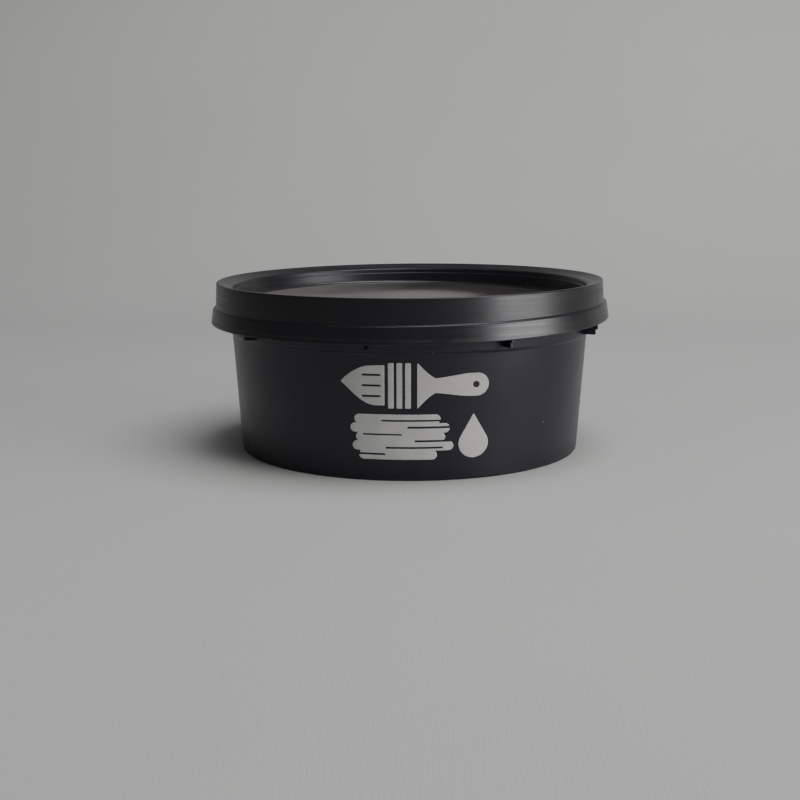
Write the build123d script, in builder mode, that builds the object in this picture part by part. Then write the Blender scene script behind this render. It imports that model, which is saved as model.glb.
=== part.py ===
from build123d import *
from math import acos, cos, radians, sin
import os

# Round snap-lid paint tub, in millimetres. +Z is up, the origin is the centre of the foot ring
# on the surface it stands on, and the print faces -Y.

# ---- driving dimensions ------------------------------------------------------------------
skirt_radius = 85.0  # outside of the lid's upper skirt
lid_top = 74.4  # height of the closed jar
base_radius = 75.2  # outside of the tub at its foot
wall_slope = 0.0647  # how far the tub's wall runs outward for each mm of height
tub_wall = 1.2
lid_wall = 1.2
floor_thickness = 1.3
foot_height = 1.0  # how far the tub's floor is held off the surface

neck_height = 50.8  # where the plain wall steps out to the neck
neck_step = 0.9
rim_height = 69.6  # top of the tub's rim, just under the lid's crown
rim_radius = 82.9  # outside of the rim's turned-down lip
lip_drop = 2.6

flange_height = 57.4  # underside of the ring that the webs carry, hidden by the lid's band
flange_thickness = 1.2
flange_radius = 84.6

web_count = 9
web_first_angle = 217.8  # degrees about +Z from +X: the first web, well to the left of the print
web_thickness = 1.3
web_bottom = 53.0
web_step_height = 54.8
web_low_radius = 84.7
web_high_radius = 85.6

band_top = 63.2  # the lid's skirt steps out to its lower band here
band_bottom = 56.9
band_top_radius = 86.8
band_bottom_radius = 87.8

crown_inner_radius = 78.2  # inner edge of the lid's sloping crown
crown_drop = 2.2
shelf_height = 70.2  # small shelf half way down the lid's recess
panel_height = 65.1  # upper face of the lid's panel
panel_radius = 75.9
dish_radius = 63.0  # the panel sags in a shallow dish inside this radius
dish_floor_radius = 12.0
dish_depth = 2.2
dish_rounding = 110.0

paint_level = 57.4  # one litre

print_thickness = 0.15
print_row_height = 18.0
upper_row_middle = 38.4
lower_row_middle = 18.0
print_left = -26.6
print_right = 31.0


def wall_radius(height):
    """Outside radius of the tub's plain wall at a height."""
    return base_radius + wall_slope * height


def neck_radius(height):
    """Outside radius of the neck, which goes on from the step at the wall's own slope."""
    return wall_radius(height) + neck_step


def close_section(corners):
    """Draw a closed half-section from (radius, height, rounding) corners."""
    points = [(radius, height) for radius, height, rounding in corners]
    FilletPolyline(*points, radius=[rounding for radius, height, rounding in corners], close=True)


# ---- tub: floor, wall, neck, rim, flange and webs moulded in one piece --------------------
floor_top = foot_height + floor_thickness
lip_bottom = rim_height - lip_drop
flange_top = flange_height + flange_thickness

tub_section = [
    (0, foot_height, 0),
    (base_radius - 3.4, foot_height, 0.3),
    (base_radius - 2.8, 0, 0.2),
    (base_radius, 0, 0.7),
    (wall_radius(neck_height), neck_height, 0.3),
    (neck_radius(neck_height), neck_height + 0.5, 0.3),
    (neck_radius(flange_height), flange_height, 0.4),
    (flange_radius, flange_height, 0.3),
    (flange_radius, flange_top, 0.3),
    (neck_radius(flange_top), flange_top, 0.4),
    (neck_radius(rim_height - 1.4), rim_height - 1.4, 0.3),
    (rim_radius - 1.1, rim_height - 1.4, 0.3),
    (rim_radius - 1.1, lip_bottom, 0.2),
    (rim_radius, lip_bottom, 0.3),
    (rim_radius, rim_height, 0.6),
    (neck_radius(rim_height) - tub_wall, rim_height, 0.4),
    (neck_radius(neck_height + 1.6) - tub_wall, neck_height + 1.6, 0.8),
    (wall_radius(neck_height - 0.8) - tub_wall, neck_height - 0.8, 0.8),
    (wall_radius(floor_top) - tub_wall, floor_top, 2.5),
    (0, floor_top, 0),
]

web_outline = [
    (neck_radius(web_bottom) - 0.6, web_bottom),
    (web_low_radius, web_bottom),
    (web_low_radius, web_step_height),
    (web_high_radius, web_step_height),
    (web_high_radius, flange_height + 0.3),
    (flange_radius - 0.4, flange_height + 0.3),
    (neck_radius(flange_height) - 0.6, flange_height + 0.3),
]

with BuildPart() as tub:
    with BuildSketch(Plane.XZ):
        with BuildLine():
            close_section(tub_section)
        make_face()
    revolve(axis=Axis.Z)
    for number in range(web_count):
        web_angle = web_first_angle + number * 360 / web_count
        web_plane = Plane(
            origin=(0, 0, 0),
            x_dir=(cos(radians(web_angle)), sin(radians(web_angle)), 0),
            z_dir=(sin(radians(web_angle)), -cos(radians(web_angle)), 0),
        )
        with BuildSketch(web_plane):
            with BuildLine():
                Polyline(*web_outline, close=True)
            make_face()
        extrude(amount=web_thickness / 2, both=True)

# ---- lid: crown, stepped skirt, inner plug wall and recessed panel in one piece -----------
crown_inner_height = lid_top - crown_drop
panel_underside = panel_height - lid_wall
plug_radius = crown_inner_radius + lid_wall - 0.1
band_inside = band_bottom_radius - lid_wall

lid_section = [
    (0, panel_height - dish_depth, 0),
    (dish_floor_radius, panel_height - dish_depth, dish_rounding),
    (dish_radius, panel_height, dish_rounding),
    (panel_radius, panel_height, 1.3),
    (crown_inner_radius - 1.3, shelf_height, 0.3),
    (crown_inner_radius - 0.5, shelf_height, 0.2),
    (crown_inner_radius, crown_inner_height, 0.25),
    (skirt_radius - 1.3, lid_top, 0.4),
    (skirt_radius, lid_top, 0.5),
    (skirt_radius + 0.3, band_top, 0.2),
    (band_top_radius, band_top, 0.6),
    (band_bottom_radius, band_bottom, 0.3),
    (band_inside, band_bottom, 0.3),
    (band_top_radius - lid_wall, band_top - lid_wall, 0.4),
    (skirt_radius - lid_wall, band_top - lid_wall, 0.4),
    (skirt_radius - lid_wall - 0.1, lid_top - 1.6, 0.8),
    (plug_radius, crown_inner_height - 0.9, 0.6),
    (plug_radius - 0.6, shelf_height - lid_wall, 0.4),
    (panel_radius + 1.0, panel_underside, 1.2),
    (dish_radius, panel_underside, dish_rounding),
    (dish_floor_radius, panel_underside - dish_depth, dish_rounding),
    (0, panel_underside - dish_depth, 0),
]

with BuildPart() as lid:
    with BuildSketch(Plane.XZ):
        with BuildLine():
            close_section(lid_section)
        make_face()
    revolve(axis=Axis.Z)

# ---- paint: what the tub is sold with, drawn as one solid that fills it to its level ------
paint_section = [
    (0, floor_top, 0),
    (wall_radius(floor_top) - tub_wall, floor_top, 2.5),
    (wall_radius(neck_height - 0.8) - tub_wall, neck_height - 0.8, 0.8),
    (neck_radius(neck_height + 1.6) - tub_wall, neck_height + 1.6, 0.8),
    (neck_radius(paint_level) - tub_wall, paint_level, 0),
    (0, paint_level, 0),
]

with BuildPart() as paint:
    with BuildSketch(Plane.XZ):
        with BuildLine():
            close_section(paint_section)
        make_face()
    revolve(axis=Axis.Z)

# ---- front print: white ink on the wall, a paint brush above a brush stroke and a drop -----
print_plane = Plane(origin=(0, 12 - base_radius, 0), x_dir=(1, 0, 0), z_dir=(0, -1, 0))
print_depth = 30  # how far the outlines are pushed through the wall before they are cut to it
half_row = print_row_height / 2
ink_low = lower_row_middle - half_row - 1
ink_high = upper_row_middle + half_row + 1
ink_outline = [
    (wall_radius(ink_low), ink_low),
    (wall_radius(ink_low) + print_thickness, ink_low),
    (wall_radius(ink_high) + print_thickness, ink_high),
    (wall_radius(ink_high), ink_high),
]

bristle_right = print_left + 17.0
ferrule_left = bristle_right + 1.3
ferrule_length = 10.0
ferrule_line = 1.1
handle_left = ferrule_left + ferrule_length + 1.3
handle_neck = 2.9
handle_belly = 4.6
handle_hole = 1.3
bristle_cut = (7.5, 0.8)

drop_radius = 5.9
drop_height = print_row_height - drop_radius
drop_middle = (print_right - drop_radius, lower_row_middle - half_row + drop_radius)
drop_angle = acos(drop_radius / drop_height)  # where the straight sides leave the round of the drop
stroke_count = 5
stroke_width = print_row_height / stroke_count
stroke_overlap = 0.25
stroke_left = print_left + 3.5
stroke_ends = [(1.6, 5.0), (0.0, 1.4), (2.2, 3.2), (0.8, 0.0), (3.4, 6.4)]  # left and right shortfall
stroke_right = print_right - 2 * drop_radius - 2.0

with BuildPart() as front_print:
    with BuildSketch(print_plane):
        with BuildLine():
            Spline(
                (bristle_right, upper_row_middle + half_row - 1.2),
                (print_left + 6.0, upper_row_middle + half_row - 2.2),
                (print_left, upper_row_middle + half_row - 7.5),
            )
            Spline(
                (print_left, upper_row_middle + half_row - 7.5),
                (print_left + 5.0, upper_row_middle - half_row + 4.2),
                (bristle_right, upper_row_middle - half_row + 1.2),
            )
            Line(
                (bristle_right, upper_row_middle - half_row + 1.2),
                (bristle_right, upper_row_middle + half_row - 1.2),
            )
        make_face()
        with BuildLine():
            shoulder = (handle_left, upper_row_middle + half_row - 2.0)
            upper_edge = Spline(
                shoulder,
                (handle_left + 7.5, upper_row_middle + handle_neck),
                (print_right - 7.0, upper_row_middle + handle_belly),
                (print_right, upper_row_middle),
                tangents=[(1, -0.15), (0, -1)],
            )
            mirror(upper_edge, about=Plane((0, upper_row_middle, 0), z_dir=(0, 1, 0)))
            Line(shoulder, (handle_left, upper_row_middle - half_row + 2.0))
        make_face()
        with Locations((ferrule_left + ferrule_length / 2, upper_row_middle)):
            Rectangle(ferrule_length, print_row_height)
        for third in (1, 2):
            with Locations((ferrule_left + third * ferrule_length / 3, upper_row_middle)):
                Rectangle(ferrule_line, print_row_height + 1, mode=Mode.SUBTRACT)
        with Locations((print_right - 5.0, upper_row_middle)):
            Circle(handle_hole, mode=Mode.SUBTRACT)
        for row in (-1, 0, 1):
            with Locations((bristle_right - bristle_cut[0] / 2 - 1.5, upper_row_middle + 4.2 * row)):
                SlotOverall(*bristle_cut, mode=Mode.SUBTRACT)
        for row, (left_short, right_short) in enumerate(stroke_ends):
            streak_left = stroke_left + left_short
            streak_right = stroke_right - right_short
            streak_height = lower_row_middle + half_row - (row + 0.5) * stroke_width
            with Locations(((streak_left + streak_right) / 2, streak_height)):
                SlotOverall(streak_right - streak_left, stroke_width + stroke_overlap)
        with Locations(drop_middle):
            Circle(drop_radius)
        with BuildLine():
            across = drop_radius * sin(drop_angle)
            shoulder_height = drop_middle[1] + drop_radius * cos(drop_angle)
            Polyline(
                (drop_middle[0] - across, shoulder_height),
                (drop_middle[0], drop_middle[1] + drop_height),
                (drop_middle[0] + across, shoulder_height),
                close=True,
            )
        make_face()
    extrude(amount=print_depth)
    with BuildSketch(Plane.XZ):
        with BuildLine():
            Polyline(*ink_outline, close=True)
        make_face()
    revolve(axis=Axis.Z, mode=Mode.INTERSECT)

# ---- files -------------------------------------------------------------------------------
os.makedirs("parts", exist_ok=True)
tub.part.label = "tub"
lid.part.label = "lid"
paint.part.label = "paint"
front_print.part.label = "front_print"
export_step(tub.part, "parts/tub.step")
export_step(lid.part, "parts/lid.step")
export_step(paint.part, "parts/paint.step")
export_step(front_print.part, "parts/front_print.step")
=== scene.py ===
"""Blender look of the paint tub: a closed, near-black snap-lid tub with a white brush print.

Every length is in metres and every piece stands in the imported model's own frame: +Z up, the foot
ring's centre at the origin, the print on the -Y side.
"""
import math

import bmesh
import bpy
from mathutils import Matrix, Vector, noise


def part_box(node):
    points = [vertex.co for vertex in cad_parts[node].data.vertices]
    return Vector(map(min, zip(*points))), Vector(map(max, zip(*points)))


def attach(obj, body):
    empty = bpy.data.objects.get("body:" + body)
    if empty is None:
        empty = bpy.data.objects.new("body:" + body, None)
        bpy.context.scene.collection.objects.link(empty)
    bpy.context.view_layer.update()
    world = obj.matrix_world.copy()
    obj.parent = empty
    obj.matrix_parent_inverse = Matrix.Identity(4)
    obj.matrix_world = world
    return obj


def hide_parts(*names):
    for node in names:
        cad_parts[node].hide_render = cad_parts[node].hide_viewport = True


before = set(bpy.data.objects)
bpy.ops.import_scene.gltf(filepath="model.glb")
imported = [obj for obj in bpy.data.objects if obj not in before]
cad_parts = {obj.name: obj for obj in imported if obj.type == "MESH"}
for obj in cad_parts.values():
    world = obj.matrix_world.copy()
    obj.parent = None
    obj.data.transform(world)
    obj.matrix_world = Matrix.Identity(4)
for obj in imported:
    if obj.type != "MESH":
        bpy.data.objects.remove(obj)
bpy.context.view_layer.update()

# ---- sizes, from the frame ---------------------------------------------------------------
MM = 0.001
TUB_BODY = "tub_body"
LID_BODY = "lid_body"
tub_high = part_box("tub")[1]
lid_low, lid_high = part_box("lid")
paint_low, paint_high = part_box("paint")
print_low, print_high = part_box("front_print")

lid_top = lid_high[2]
band_bottom = lid_low[2]
band_radius = (lid_high[0] - lid_low[0]) / 2
skirt_radius = band_radius - 2.75 * MM
rim_height = tub_high[2]
paint_level = paint_high[2]

wall_slope = 0.0647
base_radius = 75.2 * MM
plastic_wall = 1.2 * MM
neck_height = 50.8 * MM
neck_step = 0.9 * MM
flange_height = 57.4 * MM
floor_top = paint_low[2]

# The inside of the neck step, where the wall shifts outward over a few millimetres.
step_low = neck_height - 0.8 * MM
step_high = neck_height + 1.6 * MM
step_rounding = 0.8 * MM
floor_rounding = 2.5 * MM

ROUND_SEGMENTS = 288
ARC_STEPS = 4
SUPPORT_REACH = 0.15 * MM


def wall_radius(height):
    """Outside radius of the tub's tapered wall."""
    return base_radius + wall_slope * height


def neck_radius(height):
    """Outside radius of the neck, above the step in the wall."""
    return wall_radius(height) + neck_step


def inner_wall(height):
    """Inside radius of the tub's tapered wall."""
    return wall_radius(height) - plastic_wall


def inner_neck(height):
    """Inside radius of the neck."""
    return neck_radius(height) - plastic_wall


# ---- mesh building -----------------------------------------------------------------------
def rounded_path(corners):
    """Points of a half-section whose (radius, height, rounding) corners become arcs.

    A support point on each side of an arc keeps the flats flat under smooth shading.
    """
    points = []
    last = len(corners) - 1
    for index, (radius, height, rounding) in enumerate(corners):
        corner = Vector((radius, height))
        if rounding == 0 or index in (0, last):
            points.append(corner)
            continue
        to_before = Vector(corners[index - 1][:2]) - corner
        to_after = Vector(corners[index + 1][:2]) - corner
        back = to_before.normalized()
        on = to_after.normalized()
        half_angle = back.angle(on) / 2
        room = 0.45 * min(to_before.length, to_after.length)
        tangent = min(rounding / math.tan(half_angle), room)
        reach = tangent * math.tan(half_angle)
        middle = corner + (back + on).normalized() * (reach / math.sin(half_angle))
        first = corner + back * tangent
        final = corner + on * tangent
        points.append(first + back * min(SUPPORT_REACH, 0.04 * to_before.length))
        start = first - middle
        sweep = start.angle_signed(final - middle)
        for step in range(ARC_STEPS + 1):
            turned = start.copy()
            turned.rotate(Matrix.Rotation(-sweep * step / ARC_STEPS, 2))
            points.append(middle + turned)
        points.append(final + on * min(SUPPORT_REACH, 0.04 * to_after.length))
    return points


def as_mesh(shape, name):
    """Turn a finished bmesh into a named mesh."""
    mesh = bpy.data.meshes.new(name)
    shape.to_mesh(mesh)
    shape.free()
    return mesh


def add_piece(name, mesh, material, body, node):
    """Put a finished mesh in the scene as a piece that stands for a CAD node."""
    piece = bpy.data.objects.new(name, mesh)
    bpy.context.scene.collection.objects.link(piece)
    mesh.materials.append(material)
    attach(piece, body)
    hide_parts(node)


def lathe(name, path, warp):
    """Turn a half-section that starts and ends on the axis into a closed round mesh.

    warp(radius, height, angle) gives the small out-of-round and sag of a real moulding.
    """
    shape = bmesh.new()
    rings = []
    for radius, height in path:
        if radius < 1e-7:
            r, z = warp(0.0, height, 0.0)
            rings.append([shape.verts.new((0.0, 0.0, z))])
            continue
        ring = []
        for number in range(ROUND_SEGMENTS):
            angle = 2 * math.pi * number / ROUND_SEGMENTS
            r, z = warp(radius, height, angle)
            ring.append(shape.verts.new((r * math.cos(angle), r * math.sin(angle), z)))
        rings.append(ring)
    for one, two in zip(rings, rings[1:]):
        for number in range(ROUND_SEGMENTS):
            after = (number + 1) % ROUND_SEGMENTS
            if len(one) == 1:
                corners = [one[0], two[number], two[after]]
            elif len(two) == 1:
                corners = [one[number], one[after], two[0]]
            else:
                corners = [one[number], one[after], two[after], two[number]]
            shape.faces.new(corners)
    bmesh.ops.recalc_face_normals(shape, faces=shape.faces)
    mesh = as_mesh(shape, name)
    mesh.shade_smooth()
    return mesh


# ---- node materials ----------------------------------------------------------------------
class Graph:
    """A material's node tree, built one node at a time."""

    def __init__(self, name):
        self.material = bpy.data.materials.new(name)
        self.material.use_nodes = True
        self.tree = self.material.node_tree
        self.tree.nodes.clear()
        self.shader = self.add("ShaderNodeBsdfPrincipled")
        output = self.add("ShaderNodeOutputMaterial")
        self.link(self.shader.outputs["BSDF"], output.inputs["Surface"])
        self.place = self.add("ShaderNodeTexCoord").outputs["Object"]

    def add(self, kind, **settings):
        node = self.tree.nodes.new(kind)
        for key, value in settings.items():
            setattr(node, key, value)
        return node

    def link(self, source, target):
        self.tree.links.new(source, target)

    def feed(self, socket, value):
        """Set a socket to a number or colour, or link it to another socket."""
        if isinstance(value, bpy.types.NodeSocket):
            self.link(value, socket)
        else:
            socket.default_value = value

    def stretch(self, scale, turn=(0, 0, 0)):
        """The object's own coordinates, scaled and turned."""
        node = self.add("ShaderNodeMapping")
        node.inputs["Scale"].default_value = scale
        node.inputs["Rotation"].default_value = turn
        self.link(self.place, node.inputs["Vector"])
        return node.outputs["Vector"]

    def noise(self, scale, detail=4.0, roughness=0.55, place=None, distortion=0.0):
        node = self.add("ShaderNodeTexNoise")
        self.link(place or self.place, node.inputs["Vector"])
        node.inputs["Scale"].default_value = scale
        node.inputs["Detail"].default_value = detail
        node.inputs["Roughness"].default_value = roughness
        node.inputs["Distortion"].default_value = distortion
        return node.outputs["Fac"]

    def spots(self, scale, size, share):
        """Sparse round specks: 1 inside a speck, 0 elsewhere; share is how many cells have one."""
        cells = self.add("ShaderNodeTexVoronoi")
        self.link(self.place, cells.inputs["Vector"])
        cells.inputs["Scale"].default_value = scale
        lot = self.add("ShaderNodeSeparateColor")
        self.link(cells.outputs["Color"], lot.inputs["Color"])
        near = self.remap(cells.outputs["Distance"], size, size * 0.5, 0.0, 1.0)
        chosen = self.math("LESS_THAN", lot.outputs[0], share)
        return self.math("MULTIPLY", near, chosen)

    def math(self, operation, one, two=0.0):
        node = self.add("ShaderNodeMath", operation=operation)
        self.feed(node.inputs[0], one)
        self.feed(node.inputs[1], two)
        return node.outputs[0]

    def remap(self, value, low, high, to_low=0.0, to_high=1.0):
        node = self.add("ShaderNodeMapRange")
        self.feed(node.inputs["Value"], value)
        node.inputs["From Min"].default_value = low
        node.inputs["From Max"].default_value = high
        node.inputs["To Min"].default_value = to_low
        node.inputs["To Max"].default_value = to_high
        return node.outputs["Result"]

    def mix(self, share, one, two):
        node = self.add("ShaderNodeMix", data_type="RGBA")
        self.feed(node.inputs["Factor"], share)
        self.feed(node.inputs[6], one)
        self.feed(node.inputs[7], two)
        return node.outputs[2]

    def axis(self, name):
        """One of the object's own coordinates, X, Y or Z."""
        node = self.add("ShaderNodeSeparateXYZ")
        self.link(self.place, node.inputs["Vector"])
        return node.outputs[name]

    def radius(self):
        """Distance from the vertical axis."""
        across = self.math("MULTIPLY", self.axis("X"), self.axis("X"))
        deep = self.math("MULTIPLY", self.axis("Y"), self.axis("Y"))
        return self.math("SQRT", self.math("ADD", across, deep))

    def bump(self, layers):
        """Chain (value, depth in metres) layers into the shader's normal."""
        previous = None
        for value, depth in layers:
            node = self.add("ShaderNodeBump")
            node.inputs["Distance"].default_value = depth
            self.link(value, node.inputs["Height"])
            if previous is not None:
                self.link(previous, node.inputs["Normal"])
            previous = node.outputs["Normal"]
        self.link(previous, self.shader.inputs["Normal"])


# Colours of the painted reflection, with dust in it, on the polished part: dimmer at +X, brighter
# at -X.
DIM_SHEEN_DUST = (0.058, 0.050, 0.048, 1.0)
BRIGHT_SHEEN_DUST = (0.135, 0.120, 0.114, 1.0)
DUST_SPECK = (0.42, 0.41, 0.39, 1.0)


def moulded_plastic(name, colour, worn, gloss, streaks, edges, polished=(0.0, 0.0)):
    """Satin injection-moulded plastic: mould grain, turning marks, rubbed edges, scuffs, dust and
    a painted reflection on the polished part.

    gloss is (lowest, highest) roughness; streaks is how strong the turning marks are, up to 1.
    edges lists (height, reach) of the rims that get rubbed.
    polished is the (radius, height) inside and under which the mould was polished. The plastic is
    smoother there, and it is painted a light warm colour with dust in it to stand for its
    reflection. That colour is painted lighter towards -X, where the panel reflects the backdrop.
    """
    graph = Graph(name)
    grain = graph.noise(2600.0, 2.0)
    cloud = graph.noise(38.0, 5.0)
    turning = graph.noise(1.0, 3.0, 0.6, graph.stretch((7.0, 7.0, 2000.0)))
    flow = graph.noise(1.0, 4.0, 0.5, graph.stretch((260.0, 260.0, 22.0)))
    hair = graph.noise(1.0, 2.0, 0.5, graph.stretch((900.0, 900.0, 34.0), (0.5, 0.3, 0.0)), 0.4)
    scuff = graph.math("MULTIPLY", graph.remap(hair, 0.67, 0.72), graph.remap(cloud, 0.5, 0.64))
    dust = graph.spots(330.0, 0.11, 0.035)
    height = graph.axis("Z")
    rubbed = 0.0
    for level, reach in edges:
        away = graph.math("ABSOLUTE", graph.math("SUBTRACT", height, level))
        near = graph.remap(away, reach, 0.0)
        rubbed = graph.math("MAXIMUM", near, rubbed)
    broken = graph.math("MULTIPLY", rubbed, graph.remap(graph.noise(140.0, 3.0), 0.38, 0.75))
    faint_rub = graph.math("MULTIPLY", broken, 0.34)
    faint_scuff = graph.math("MULTIPLY", scuff, 0.08)
    mark = graph.math("MAXIMUM", faint_rub, faint_scuff)
    darker = [0.8 * part for part in colour[:3]] + [1.0]
    tinted = graph.mix(graph.remap(flow, 0.3, 0.75), colour, darker)
    rubbed_colour = graph.mix(mark, tinted, worn)
    inside = graph.remap(graph.radius(), polished[0], polished[0] - 1.5 * MM)
    under = graph.remap(height, polished[1], polished[1] - 0.8 * MM)
    polish = graph.math("MULTIPLY", inside, under)
    # Painted reflection: the polished part gets a light warm colour, patchy like dust, painted
    # lighter towards -X where it reflects the backdrop.
    patches = graph.remap(graph.noise(46.0, 9.0, 0.72), 0.3, 0.65, 0.62, 1.0)
    film = graph.math("MULTIPLY", polish, patches)
    sheen_to_left = graph.remap(graph.axis("X"), 10.0 * MM, -55.0 * MM)
    sheen_dust_colour = graph.mix(sheen_to_left, DIM_SHEEN_DUST, BRIGHT_SHEEN_DUST)
    sheened = graph.mix(film, rubbed_colour, sheen_dust_colour)
    dusty = graph.mix(graph.math("MULTIPLY", dust, 0.55), sheened, DUST_SPECK)
    graph.link(dusty, graph.shader.inputs["Base Color"])
    smooth = graph.remap(cloud, 0.3, 0.7, gloss[0], gloss[1])
    sway = 0.06 * streaks
    streaked = graph.math("ADD", smooth, graph.remap(turning, 0.3, 0.7, -sway, sway))
    dulled = graph.math("MULTIPLY", graph.math("MAXIMUM", mark, dust), 0.25)
    rough = graph.math("ADD", streaked, dulled)
    smoother = graph.remap(polish, 0.0, 1.0, 1.0, 0.27)
    graph.link(graph.math("MULTIPLY", rough, smoother), graph.shader.inputs["Roughness"])
    graph.shader.inputs["Specular IOR Level"].default_value = 0.5
    graph.shader.inputs["Specular Tint"].default_value = (0.94, 0.93, 1.0, 1.0)
    graph.bump([(grain, 0.006 * MM), (turning, 0.016 * MM * streaks), (flow, 0.02 * MM)])
    return graph.material


def printed_ink():
    """Screen-printed white ink: slightly uneven cover, mesh marks and pinholes."""
    graph = Graph("white_ink")
    cover = graph.noise(160.0, 5.0)
    mesh_marks = graph.noise(3800.0, 1.0)
    pinholes = graph.spots(900.0, 0.16, 0.05)
    full = (0.53, 0.522, 0.512, 1.0)
    thin = (0.45, 0.445, 0.437, 1.0)
    plastic_below = (0.16, 0.16, 0.17, 1.0)
    white = graph.mix(graph.remap(cover, 0.3, 0.72), full, thin)
    speckled = graph.mix(graph.math("MULTIPLY", pinholes, 0.7), white, plastic_below)
    graph.link(speckled, graph.shader.inputs["Base Color"])
    graph.link(graph.remap(cover, 0.3, 0.7, 0.42, 0.56), graph.shader.inputs["Roughness"])
    graph.bump([(mesh_marks, 0.008 * MM), (cover, 0.02 * MM)])
    return graph.material


def wet_paint():
    """Settled white paint: glossy, with a faint skin and a few lazy swirls of thinner binder."""
    graph = Graph("white_paint")
    swirl = graph.noise(34.0, 3.0, 0.5, None, 1.6)
    skin = graph.noise(420.0, 3.0)
    pigment = (0.86, 0.86, 0.84, 1.0)
    binder = (0.74, 0.74, 0.71, 1.0)
    white = graph.mix(graph.remap(swirl, 0.45, 0.75), pigment, binder)
    graph.link(white, graph.shader.inputs["Base Color"])
    graph.link(graph.remap(skin, 0.3, 0.7, 0.14, 0.26), graph.shader.inputs["Roughness"])
    graph.shader.inputs["Subsurface Weight"].default_value = 0.06
    graph.shader.inputs["Subsurface Radius"].default_value = (0.002, 0.002, 0.0018)
    graph.bump([(swirl, 0.25 * MM), (skin, 0.02 * MM)])
    return graph.material


tub_plastic = moulded_plastic(
    "tub_plastic",
    colour=(0.006, 0.006, 0.0115, 1.0),
    worn=(0.05, 0.05, 0.054, 1.0),
    gloss=(0.31, 0.39),
    streaks=0.2,
    edges=[(0.4 * MM, 0.9 * MM), (neck_height, 0.5 * MM)],
)
lid_plastic = moulded_plastic(
    "lid_plastic",
    colour=(0.009, 0.009, 0.0108, 1.0),
    worn=(0.07, 0.07, 0.07, 1.0),
    gloss=(0.30, 0.38),
    streaks=1.0,
    edges=[(lid_top, 0.5 * MM), (band_bottom, 0.6 * MM)],
    # The polished panel is painted with a light reflection colour, with dust in it, lighter
    # towards -X.
    polished=(75.0 * MM, lid_top - 7.0 * MM),
)
white_ink = printed_ink()
white_paint = wet_paint()


# ---- tub ---------------------------------------------------------------------------------
def out_of_round(radius, height, angle):
    """A moulding is never quite round: it strays by about a tenth of a millimetre."""
    stray = 0.1 * MM * math.cos(2 * angle + 0.7) + 0.05 * MM * math.cos(3 * angle - 1.1)
    return radius + stray * radius / base_radius, height


def tub_mesh():
    """Floor, foot ring, wall, neck, flange and rim, with the gate mark under the floor."""
    foot = 1.0 * MM
    flange_radius = 84.6 * MM
    flange_top = flange_height + plastic_wall
    lip_radius = 82.9 * MM
    lip_inner = lip_radius - 1.1 * MM
    lip_bottom = rim_height - 2.6 * MM
    under_lip = rim_height - 1.4 * MM
    corners = [
        (0.0, foot - 0.5 * MM, 0),
        (1.3 * MM, foot - 0.45 * MM, 0.2 * MM),
        (1.7 * MM, foot - 0.05 * MM, 0.15 * MM),
        (4.5 * MM, foot - 0.05 * MM, 0.2 * MM),
        (5.2 * MM, foot + 0.2 * MM, 0.2 * MM),
        (11.0 * MM, foot + 0.2 * MM, 0.2 * MM),
        (11.5 * MM, foot, 0.2 * MM),
        (base_radius - 3.4 * MM, foot, 0.3 * MM),
        (base_radius - 2.8 * MM, 0.0, 0.2 * MM),
        (base_radius, 0.0, 0.7 * MM),
        (wall_radius(neck_height), neck_height - 0.1 * MM, 0.7 * MM),
        (neck_radius(neck_height), neck_height + 0.8 * MM, 0.7 * MM),
        (neck_radius(flange_height), flange_height, 0.5 * MM),
        (flange_radius, flange_height, 0.3 * MM),
        (flange_radius, flange_top, 0.3 * MM),
        (neck_radius(flange_top), flange_top, 0.5 * MM),
        (neck_radius(under_lip), under_lip, 0.3 * MM),
        (lip_inner, under_lip, 0.3 * MM),
        (lip_inner, lip_bottom, 0.2 * MM),
        (lip_radius, lip_bottom, 0.3 * MM),
        (lip_radius, rim_height, 0.6 * MM),
        (inner_neck(rim_height), rim_height, 0.4 * MM),
        (inner_neck(step_high), step_high, step_rounding),
        (inner_wall(step_low), step_low, step_rounding),
        (inner_wall(floor_top), floor_top, floor_rounding),
        (0.0, floor_top, 0),
    ]
    return lathe("tub_shell", rounded_path(corners), out_of_round)


def webs_mesh():
    """Nine short upright webs that tie the neck to the flange, each a bevelled plate."""
    count = 9
    first_angle = math.radians(217.8)
    thickness = 1.3 * MM
    bottom = 52.6 * MM
    foot_radius = 84.7 * MM
    notch = 54.8 * MM
    outer_radius = 85.6 * MM
    top = flange_height + 0.6 * MM
    rooted = 0.6 * MM
    outline = [
        (neck_radius(bottom) - rooted, bottom),
        (foot_radius, bottom),
        (foot_radius, notch),
        (outer_radius, notch),
        (outer_radius, flange_height + 0.3 * MM),
        (84.2 * MM, top),
        (neck_radius(top) - rooted, top),
    ]
    shape = bmesh.new()
    for number in range(count):
        angle = first_angle + number * 2 * math.pi / count
        outward = Vector((math.cos(angle), math.sin(angle), 0.0))
        aside = Vector((-math.sin(angle), math.cos(angle), 0.0)) * (thickness / 2)
        sides = []
        for sign in (-1, 1):
            corners = [outward * r + aside * sign + Vector((0.0, 0.0, z)) for r, z in outline]
            sides.append([shape.verts.new(corner) for corner in corners])
        shape.faces.new(sides[0])
        shape.faces.new(list(reversed(sides[1])))
        for index in range(len(outline)):
            after = (index + 1) % len(outline)
            shape.faces.new([sides[0][index], sides[1][index], sides[1][after], sides[0][after]])
    bmesh.ops.recalc_face_normals(shape, faces=shape.faces)
    soft_edge = 0.18 * MM
    bmesh.ops.bevel(
        shape, geom=shape.edges[:], offset=soft_edge, segments=2, profile=0.5, affect="EDGES"
    )
    return as_mesh(shape, "tub_webs")


add_piece("tub_shell", tub_mesh(), tub_plastic, TUB_BODY, "tub")
add_piece("tub_webs", webs_mesh(), tub_plastic, TUB_BODY, "tub")


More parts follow.
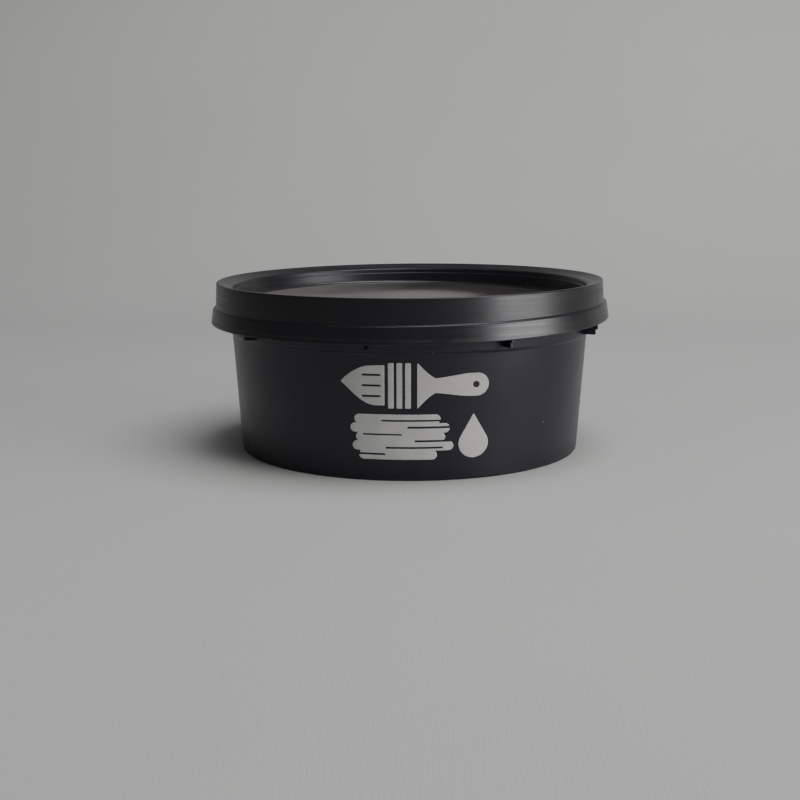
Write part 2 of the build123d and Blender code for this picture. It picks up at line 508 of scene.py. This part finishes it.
# ---- lid ---------------------------------------------------------------------------------
panel_height = lid_top - 9.3 * MM
panel_radius = 75.9 * MM
shelf_height = lid_top - 4.2 * MM
crown_inner = 78.2 * MM

# How far the thin panel hangs in the middle, and how it bends, twists and leans to the right.
panel_sag = 3.85 * MM
panel_bow = -3.2 * MM
panel_twist = 0.7 * MM
panel_lean = 3.15 * MM
edge_left_up = 1.0 * MM
edge_back_up = 0.45 * MM
fold_drop = 0.9 * MM
fold_right = 0.36
fold_slant = 0.12
fold_width = 0.035
fold_back = 0.2

# The skirt ends at the band's top line, which is not level.
skirt_start = lid_top - 2.0 * MM
band_top = lid_top - 11.2 * MM
band_top_lean = 1.0 * MM
band_edge_lean = 0.6 * MM


def band_lift(height, right):
    """The line between skirt and band climbs to the right, and the band's edge a little less.

    right runs from -1 at the far left of the lid to 1 at its far right.
    """
    line = band_top_lean * (1.0 + right)
    edge = band_edge_lean * (right + right * right)
    if height > band_top:
        return line * max(0.0, (skirt_start - height) / (skirt_start - band_top))
    return edge + (line - edge) * (height - band_bottom) / (band_top - band_bottom)


def lid_warp(radius, height, angle):
    """The skirt strays a little from round, and the thin panel sags, bows and twists.

    The foot of the recess wall leans with the panel, and the lean dies out at the shelf.
    """
    r, z = out_of_round(radius, height, angle)
    if radius > crown_inner + 1.2 * MM:
        return r, z + band_lift(height, math.cos(angle))
    if height > shelf_height:
        return r, z
    share = min(1.0, radius / panel_radius)
    x = share * math.cos(angle)
    y = share * math.sin(angle)
    inside = 1.0 - share * share
    depth = min(1.0, (shelf_height - height) / (shelf_height - panel_height))
    edge = edge_back_up * y - edge_left_up * x
    crease = 1.0 / (1.0 + math.exp((fold_right + fold_slant * y - x) / fold_width))
    fold = fold_drop * crease * (y - fold_back) * inside
    ripple = 0.02 * MM * noise.noise(Vector((x * 5.0, y * 5.0, 4.0)))
    bulge = panel_lean * x + panel_twist * x * y + panel_bow * (x * x - y * y) + ripple
    sag = panel_sag * (1.0 - share ** 2.7)
    return r, z + edge * depth + (1.0 - share ** 4) * bulge - sag - fold


def lid_mesh():
    """Crown, stepped skirt, plug wall and thin panel, with the gate mark in the middle."""
    crown = lid_top - 2.2 * MM
    underside = panel_height - plastic_wall
    panel_rings = [panel_radius * number / 30 for number in range(2, 29)]
    skirt_inside = skirt_radius - plastic_wall
    plug = crown_inner + 1.1 * MM
    corners = [
        (0.0, panel_height + 0.25 * MM, 0),
        (1.0 * MM, panel_height + 0.2 * MM, 0.2 * MM),
        (1.4 * MM, panel_height - 0.25 * MM, 0.15 * MM),
        (3.6 * MM, panel_height - 0.25 * MM, 0.3 * MM),
        (4.4 * MM, panel_height, 0.3 * MM),
    ]
    corners += [(radius, panel_height, 0) for radius in panel_rings]
    corners += [
        (panel_radius, panel_height, 1.3 * MM),
        (crown_inner - 1.3 * MM, shelf_height, 0.15 * MM),
        (crown_inner - 0.5 * MM, shelf_height, 0.2 * MM),
        (crown_inner, crown, 0.7 * MM),
        (skirt_radius - 1.3 * MM, lid_top, 0.4 * MM),
        (skirt_radius, lid_top, 0.5 * MM),
        (skirt_radius + 0.6 * MM, band_top, 0.2 * MM),
        (skirt_radius + 1.8 * MM, band_top - 0.1 * MM, 0.9 * MM),
        (skirt_radius + 2.8 * MM, band_bottom, 0.3 * MM),
        (skirt_radius + 1.6 * MM, band_bottom, 0.3 * MM),
        (skirt_radius + 0.6 * MM, band_top - plastic_wall, 0.4 * MM),
        (skirt_inside, band_top - plastic_wall, 0.4 * MM),
        (skirt_inside - 0.1 * MM, lid_top - 1.6 * MM, 0.8 * MM),
        (plug, crown - 0.9 * MM, 0.6 * MM),
        (plug - 0.6 * MM, shelf_height - plastic_wall, 0.4 * MM),
        (panel_radius + 1.0 * MM, underside, 1.2 * MM),
    ]
    corners += [(radius, underside, 0) for radius in reversed(panel_rings)]
    corners += [(0.0, underside, 0)]
    return lathe("lid_shell", rounded_path(corners), lid_warp)


def sit_askew(mesh):
    """A lid pressed shut by hand sits a little high at the back and on the right."""
    pivot = Matrix.Translation((0.0, 0.0, lid_top - 6.0 * MM))
    lower = Matrix.Translation((0.0, 0.0, -0.28 * MM))
    back_up = Matrix.Rotation(math.radians(0.88), 4, "X")
    right_up = Matrix.Rotation(math.radians(-0.45), 4, "Y")
    mesh.transform(lower @ pivot @ right_up @ back_up @ pivot.inverted())
    return mesh


add_piece("lid_shell", sit_askew(lid_mesh()), lid_plastic, LID_BODY, "lid")


# ---- paint -------------------------------------------------------------------------------
def paint_warp(radius, height, angle):
    """Only the top of the paint is uneven: a low swell and the soft folds of its last stir."""
    gap = 0.12 * MM
    ring_radius = 30.0 * MM
    ring_width = 14.0 * MM
    if height < paint_level - 0.2 * MM:
        return max(0.0, radius - gap), height
    place = Vector((radius * math.cos(angle), radius * math.sin(angle), 0.0)) * 22.0
    swell = noise.noise(place) * 0.22 * MM
    fade = math.exp(-(((radius - ring_radius) / ring_width) ** 2))
    fold = 0.16 * MM * math.sin(radius * 300.0 + 2.0 * angle) * fade
    return max(0.0, radius - gap), height + swell + fold


def paint_mesh():
    """One litre of paint, which climbs the wall a little at its edge."""
    edge = inner_neck(paint_level)
    level_radius = edge - 3.0 * MM
    corners = [
        (0.0, floor_top, 0),
        (inner_wall(floor_top), floor_top, floor_rounding),
        (inner_wall(step_low), step_low, step_rounding),
        (inner_neck(step_high), step_high, step_rounding),
        (edge, paint_level - 0.3 * MM, 0),
        (edge, paint_level + 0.9 * MM, 0.05 * MM),
        (edge - 0.35 * MM, paint_level + 0.75 * MM, 0.1 * MM),
        (edge - 1.2 * MM, paint_level + 0.25 * MM, 0.8 * MM),
        (level_radius, paint_level, 1.5 * MM),
    ]
    rings = 30
    for number in range(1, rings):
        corners.append((level_radius * (1 - number / rings), paint_level, 0))
    corners.append((0.0, paint_level, 0))
    return lathe("paint_fill", rounded_path(corners), paint_warp)


add_piece("paint_fill", paint_mesh(), white_paint, TUB_BODY, "paint")


# ---- front print -------------------------------------------------------------------------
def capsule(x, z, left, right, middle, radius):
    """Distance to a level bar with round ends, negative inside."""
    nearest = min(max(x, left + radius), right - radius)
    return math.hypot(x - nearest, z - middle) - radius


def slab(x, z, left, right, low, high):
    """Distance to a rectangle, negative inside."""
    across = max(left - x, x - right)
    along = max(low - z, z - high)
    return max(across, along)


def brush_head(x, z, left, right, middle, half):
    """Bristles: a block that rounds off to a chisel point at its left end, with three slits."""
    run = min(max((x - left) / (right - left), 0.0), 1.0)
    upper = math.sin(math.pi / 2 * min(1.0, 1.5 * run)) ** 0.8
    lower = math.sin(math.pi / 2 * min(1.0, 1.25 * run)) ** 1.1
    top = middle + half * (0.16 + 0.74 * upper * (0.9 + 0.1 * run))
    bottom = middle - half * (-0.12 + 0.99 * lower)
    shape = max(left - x, x - right, z - top, bottom - z)
    slit_left = right - 9.0 * MM
    slit_right = right - 1.5 * MM
    slit_gap = 4.2 * MM
    for row in (-1, 0, 1):
        slit = capsule(x, z, slit_left, slit_right, middle + row * slit_gap, 0.4 * MM)
        shape = max(shape, -slit)
    return shape


def brush_handle(x, z, left, right, middle, half):
    """Handle: wide shoulders, a waist, a fuller grip with a round end and a hanging hole."""
    run = min(max((x - left) / (right - left), 0.0), 1.0)
    shoulder = (half - 2.0 * MM) * (1.0 - math.sin(math.pi / 2 * min(1.0, run / 0.36)))
    grip = 2.7 * MM + 1.9 * MM * math.sin(math.pi / 2 * min(1.0, run / 0.8)) ** 3
    girth = max(grip, shoulder + 2.2 * MM)
    end = capsule(x, z, left - 20.0 * MM, right, middle, girth)
    hole = math.hypot(x - (right - 5.0 * MM), z - middle) - 1.3 * MM
    return max(end, left - x, -hole)


def drop(x, z, middle, low, radius, tall):
    """A paint drop: a round foot under a pointed top."""
    centre = low + radius
    ball = math.hypot(x - middle, z - centre) - radius
    turn = math.acos(radius / (tall - radius))
    shoulder = centre + radius * math.cos(turn)
    slope = radius * math.sin(turn) / (low + tall - shoulder)
    cone = max(abs(x - middle) - (low + tall - z) * slope, shoulder - z)
    return min(ball, cone)


ink_left = print_low[0]
ink_right = print_high[0]
row_height = 18.0 * MM
upper_middle = print_high[2] - row_height / 2
lower_middle = print_low[2] + row_height / 2


# The brush stroke is made of five level streaks; each is (short on the left, on the right) in mm.
STREAKS = ((1.6, 5.0), (0.0, 1.4), (2.2, 3.2), (0.8, 0.0), (3.4, 6.4))
# Dry gaps in it: (height from its middle in mm, start and end as a share, half-height in mm).
DRY_GAPS = (
    (6.6, 0.30, 0.93, 0.34),
    (3.9, 0.55, 1.02, 0.42),
    (1.0, 0.12, 0.5, 0.3),
    (-1.6, 0.62, 1.04, 0.4),
    (-4.3, 0.34, 0.9, 0.36),
    (-6.9, -0.03, 0.34, 0.38),
)


def brush_stroke(x, z, start, finish):
    """Distance to the streaked brush stroke, negative inside."""
    width = row_height / len(STREAKS)
    shape = math.inf
    for number, (left_short, right_short) in enumerate(STREAKS):
        middle = lower_middle + row_height / 2 - (number + 0.5) * width
        left = start + left_short * MM
        right = finish - right_short * MM
        shape = min(shape, capsule(x, z, left, right, middle, width / 2 + 0.12 * MM))
    length = finish - start
    for offset, gap_start, gap_end, girth in DRY_GAPS:
        left = start + gap_start * length
        right = start + gap_end * length
        gap = capsule(x, z, left, right, lower_middle + offset * MM, girth * MM)
        shape = max(shape, -gap)
    return shape


def ink_distance(x, z):
    """Distance to the edge of the whole print, negative under ink."""
    half = row_height / 2
    bristle_right = ink_left + 17.0 * MM
    ferrule = bristle_right + 1.3 * MM
    ferrule_band = 10.0 * MM / 3
    band_gap = 1.1 * MM
    handle = ferrule + 11.3 * MM
    drop_radius = 5.9 * MM
    shapes = [
        brush_head(x, z, ink_left, bristle_right, upper_middle, half),
        brush_handle(x, z, handle, ink_right, upper_middle, half),
        drop(x, z, ink_right - drop_radius, lower_middle - half, drop_radius, row_height),
        brush_stroke(x, z, ink_left + 3.5 * MM, ink_right - 13.8 * MM),
    ]
    for number in range(3):
        left = ferrule + number * ferrule_band
        right = left + ferrule_band - band_gap
        shapes.append(slab(x, z, left, right, upper_middle - half, upper_middle + half))
    ragged = noise.noise(Vector((x, z, 0.0)) * 1500.0) * 0.07 * MM
    return min(shapes) + ragged


def print_mesh():
    """The ink film: the area where ink_distance is negative, wrapped onto the wall."""
    cell = 0.4 * MM
    film = 0.09 * MM
    sunk = 0.05 * MM
    margin = 1.0 * MM
    columns = math.ceil((ink_right - ink_left + 2 * margin) / cell)
    rows = math.ceil((print_high[2] - print_low[2] + 2 * margin) / cell)
    start_x = ink_left - margin
    start_z = print_low[2] - margin
    value = {}
    for i in range(columns + 1):
        for j in range(rows + 1):
            value[i, j] = ink_distance(start_x + i * cell, start_z + j * cell)
    shape = bmesh.new()
    known = {}

    def point(i, j, share_i=0.0, share_j=0.0):
        key = (i, j, share_i > 0, share_j > 0)
        if key not in known:
            x = start_x + (i + share_i) * cell
            z = start_z + (j + share_j) * cell
            angle = math.asin(x / wall_radius(z))
            r, _ = out_of_round(wall_radius(z) + film, z, angle - math.pi / 2)
            known[key] = shape.verts.new((r * math.sin(angle), -r * math.cos(angle), z))
        return known[key]

    def crossing(one, two):
        share = min(max(value[one] / (value[one] - value[two]), 0.02), 0.98)
        (i, j), (k, m) = min(one, two), max(one, two)
        if (i, j) != one:
            share = 1.0 - share
        return point(i, j, share * (k - i), share * (m - j))

    for i in range(columns):
        for j in range(rows):
            walk = [(i, j), (i + 1, j), (i + 1, j + 1), (i, j + 1)]
            corners = []
            for here, there in zip(walk, walk[1:] + walk[:1]):
                if value[here] < 0:
                    corners.append(point(*here))
                if (value[here] < 0) != (value[there] < 0):
                    corners.append(crossing(here, there))
            if len(corners) >= 3:
                shape.faces.new(corners)
    outer = shape.faces[:]
    for face in outer:
        face.smooth = True
    extruded = bmesh.ops.extrude_face_region(shape, geom=outer, use_keep_orig=True)
    for item in extruded["geom"]:
        if isinstance(item, bmesh.types.BMVert):
            flat = Vector((item.co.x, item.co.y, 0.0))
            item.co -= flat.normalized() * (film + sunk)
    bmesh.ops.recalc_face_normals(shape, faces=shape.faces)
    return as_mesh(shape, "front_print")


add_piece("print_film", print_mesh(), white_ink, TUB_BODY, "front_print")


# ---- stage -------------------------------------------------------------------------------
def sweep_material():
    """Pale matte cloth with a fine even weave."""
    graph = Graph("pale_cloth")
    across = graph.noise(1.0, 2.0, 0.5, graph.stretch((1500.0, 160.0, 160.0)))
    along = graph.noise(1.0, 2.0, 0.5, graph.stretch((160.0, 1500.0, 1500.0)))
    weave = graph.math("ADD", across, along)
    cloud = graph.noise(2.2, 3.0)
    darkest = (0.425, 0.425, 0.412, 1.0)
    lightest = (0.46, 0.46, 0.446, 1.0)
    tone = graph.mix(graph.remap(cloud, 0.3, 0.7), darkest, lightest)
    graph.link(tone, graph.shader.inputs["Base Color"])
    graph.shader.inputs["Roughness"].default_value = 0.95
    graph.shader.inputs["Specular IOR Level"].default_value = 0.15
    graph.bump([(weave, 0.06 * MM)])
    return graph.material


def add_sweep():
    """A floor that curves up into a backdrop behind the tub."""
    front = -4.0
    back = 0.85
    bend = 0.4
    top = 0.55
    half_width = 4.0
    steps = 24
    near_tub = -0.4
    behind_tub = 0.1
    line = [(front, 0.0), (near_tub, 0.0), (behind_tub, 0.0)]
    for step in range(steps + 1):
        angle = math.pi / 2 * step / steps
        line.append((back - bend + bend * math.sin(angle), bend - bend * math.cos(angle)))
    line.append((back, top))
    shape = bmesh.new()
    rows = [[shape.verts.new((side * half_width, y, z)) for side in (-1, 1)] for y, z in line]
    for one, two in zip(rows, rows[1:]):
        face = shape.faces.new([one[0], one[1], two[1], two[0]])
        face.smooth = True
    mesh = as_mesh(shape, "sweep")
    mesh.materials.append(sweep_material())
    sweep = bpy.data.objects.new("sweep", mesh)
    bpy.context.scene.collection.objects.link(sweep)


def add_area_light(name, azimuth, elevation, distance, size, power, colour, turned=0.0):
    """A soft panel light aimed at the tub, then turned about the vertical by some degrees.

    Azimuth 0 is in front of the tub, and 90 on its right.
    """
    aim = Vector((0.0, 0.0, 0.04))
    light = bpy.data.lights.new(name, "AREA")
    light.shape = "RECTANGLE"
    light.size, light.size_y = size
    light.energy = power
    light.color = colour
    lamp = bpy.data.objects.new(name, light)
    turn = math.radians(azimuth)
    lift = math.radians(elevation)
    level = math.cos(lift)
    place = Vector((math.sin(turn) * level, -math.cos(turn) * level, math.sin(lift)))
    lamp.location = aim + place * distance
    lamp.rotation_euler = place.to_track_quat("Z", "Y").to_euler()
    lamp.rotation_euler.z += math.radians(turned)
    lamp.visible_camera = False
    bpy.context.scene.collection.objects.link(lamp)


def add_world():
    """A dim, slightly cool room around the stage."""
    world = bpy.data.worlds.new("room")
    world.use_nodes = True
    background = world.node_tree.nodes["Background"]
    background.inputs["Color"].default_value = (0.79, 0.8, 0.82, 1.0)
    background.inputs["Strength"].default_value = 0.15
    bpy.context.scene.world = world


def add_camera():
    """The camera stands about six lid radii away and looks a little down on the tub."""
    distance = 6.0555 * skirt_radius
    height = 1.3189 * skirt_radius
    pitch = math.radians(10.27)
    yaw = -0.0082
    roll = -0.0016
    ahead = math.cos(pitch)
    forward = Vector((math.sin(yaw) * ahead, math.cos(yaw) * ahead, -math.sin(pitch)))
    level = Vector((math.cos(yaw), -math.sin(yaw), 0.0))
    upright = level.cross(forward)
    right = level * math.cos(roll) + upright * math.sin(roll)
    up = right.cross(forward)
    camera = bpy.data.objects.new("camera", bpy.data.cameras.new("camera"))
    camera.data.sensor_width = 36.0
    camera.data.lens = 51.82
    camera.data.clip_start = 0.01
    turn = Matrix((right, up, -forward)).transposed()
    camera.matrix_world = Matrix.Translation((0.0, -distance, height)) @ turn.to_4x4()
    bpy.context.scene.collection.objects.link(camera)
    bpy.context.scene.camera = camera


add_sweep()
add_world()
add_camera()
add_area_light(
    "key",
    azimuth=63,
    elevation=8.5,
    distance=1.5,
    size=(0.95, 0.42),
    power=16.0,
    colour=(1.0, 0.98, 0.94),
    turned=10,
)
add_area_light(
    "top",
    azimuth=62,
    elevation=72,
    distance=1.5,
    size=(1.2, 1.2),
    power=23.5,
    colour=(0.97, 0.985, 1.0),
)
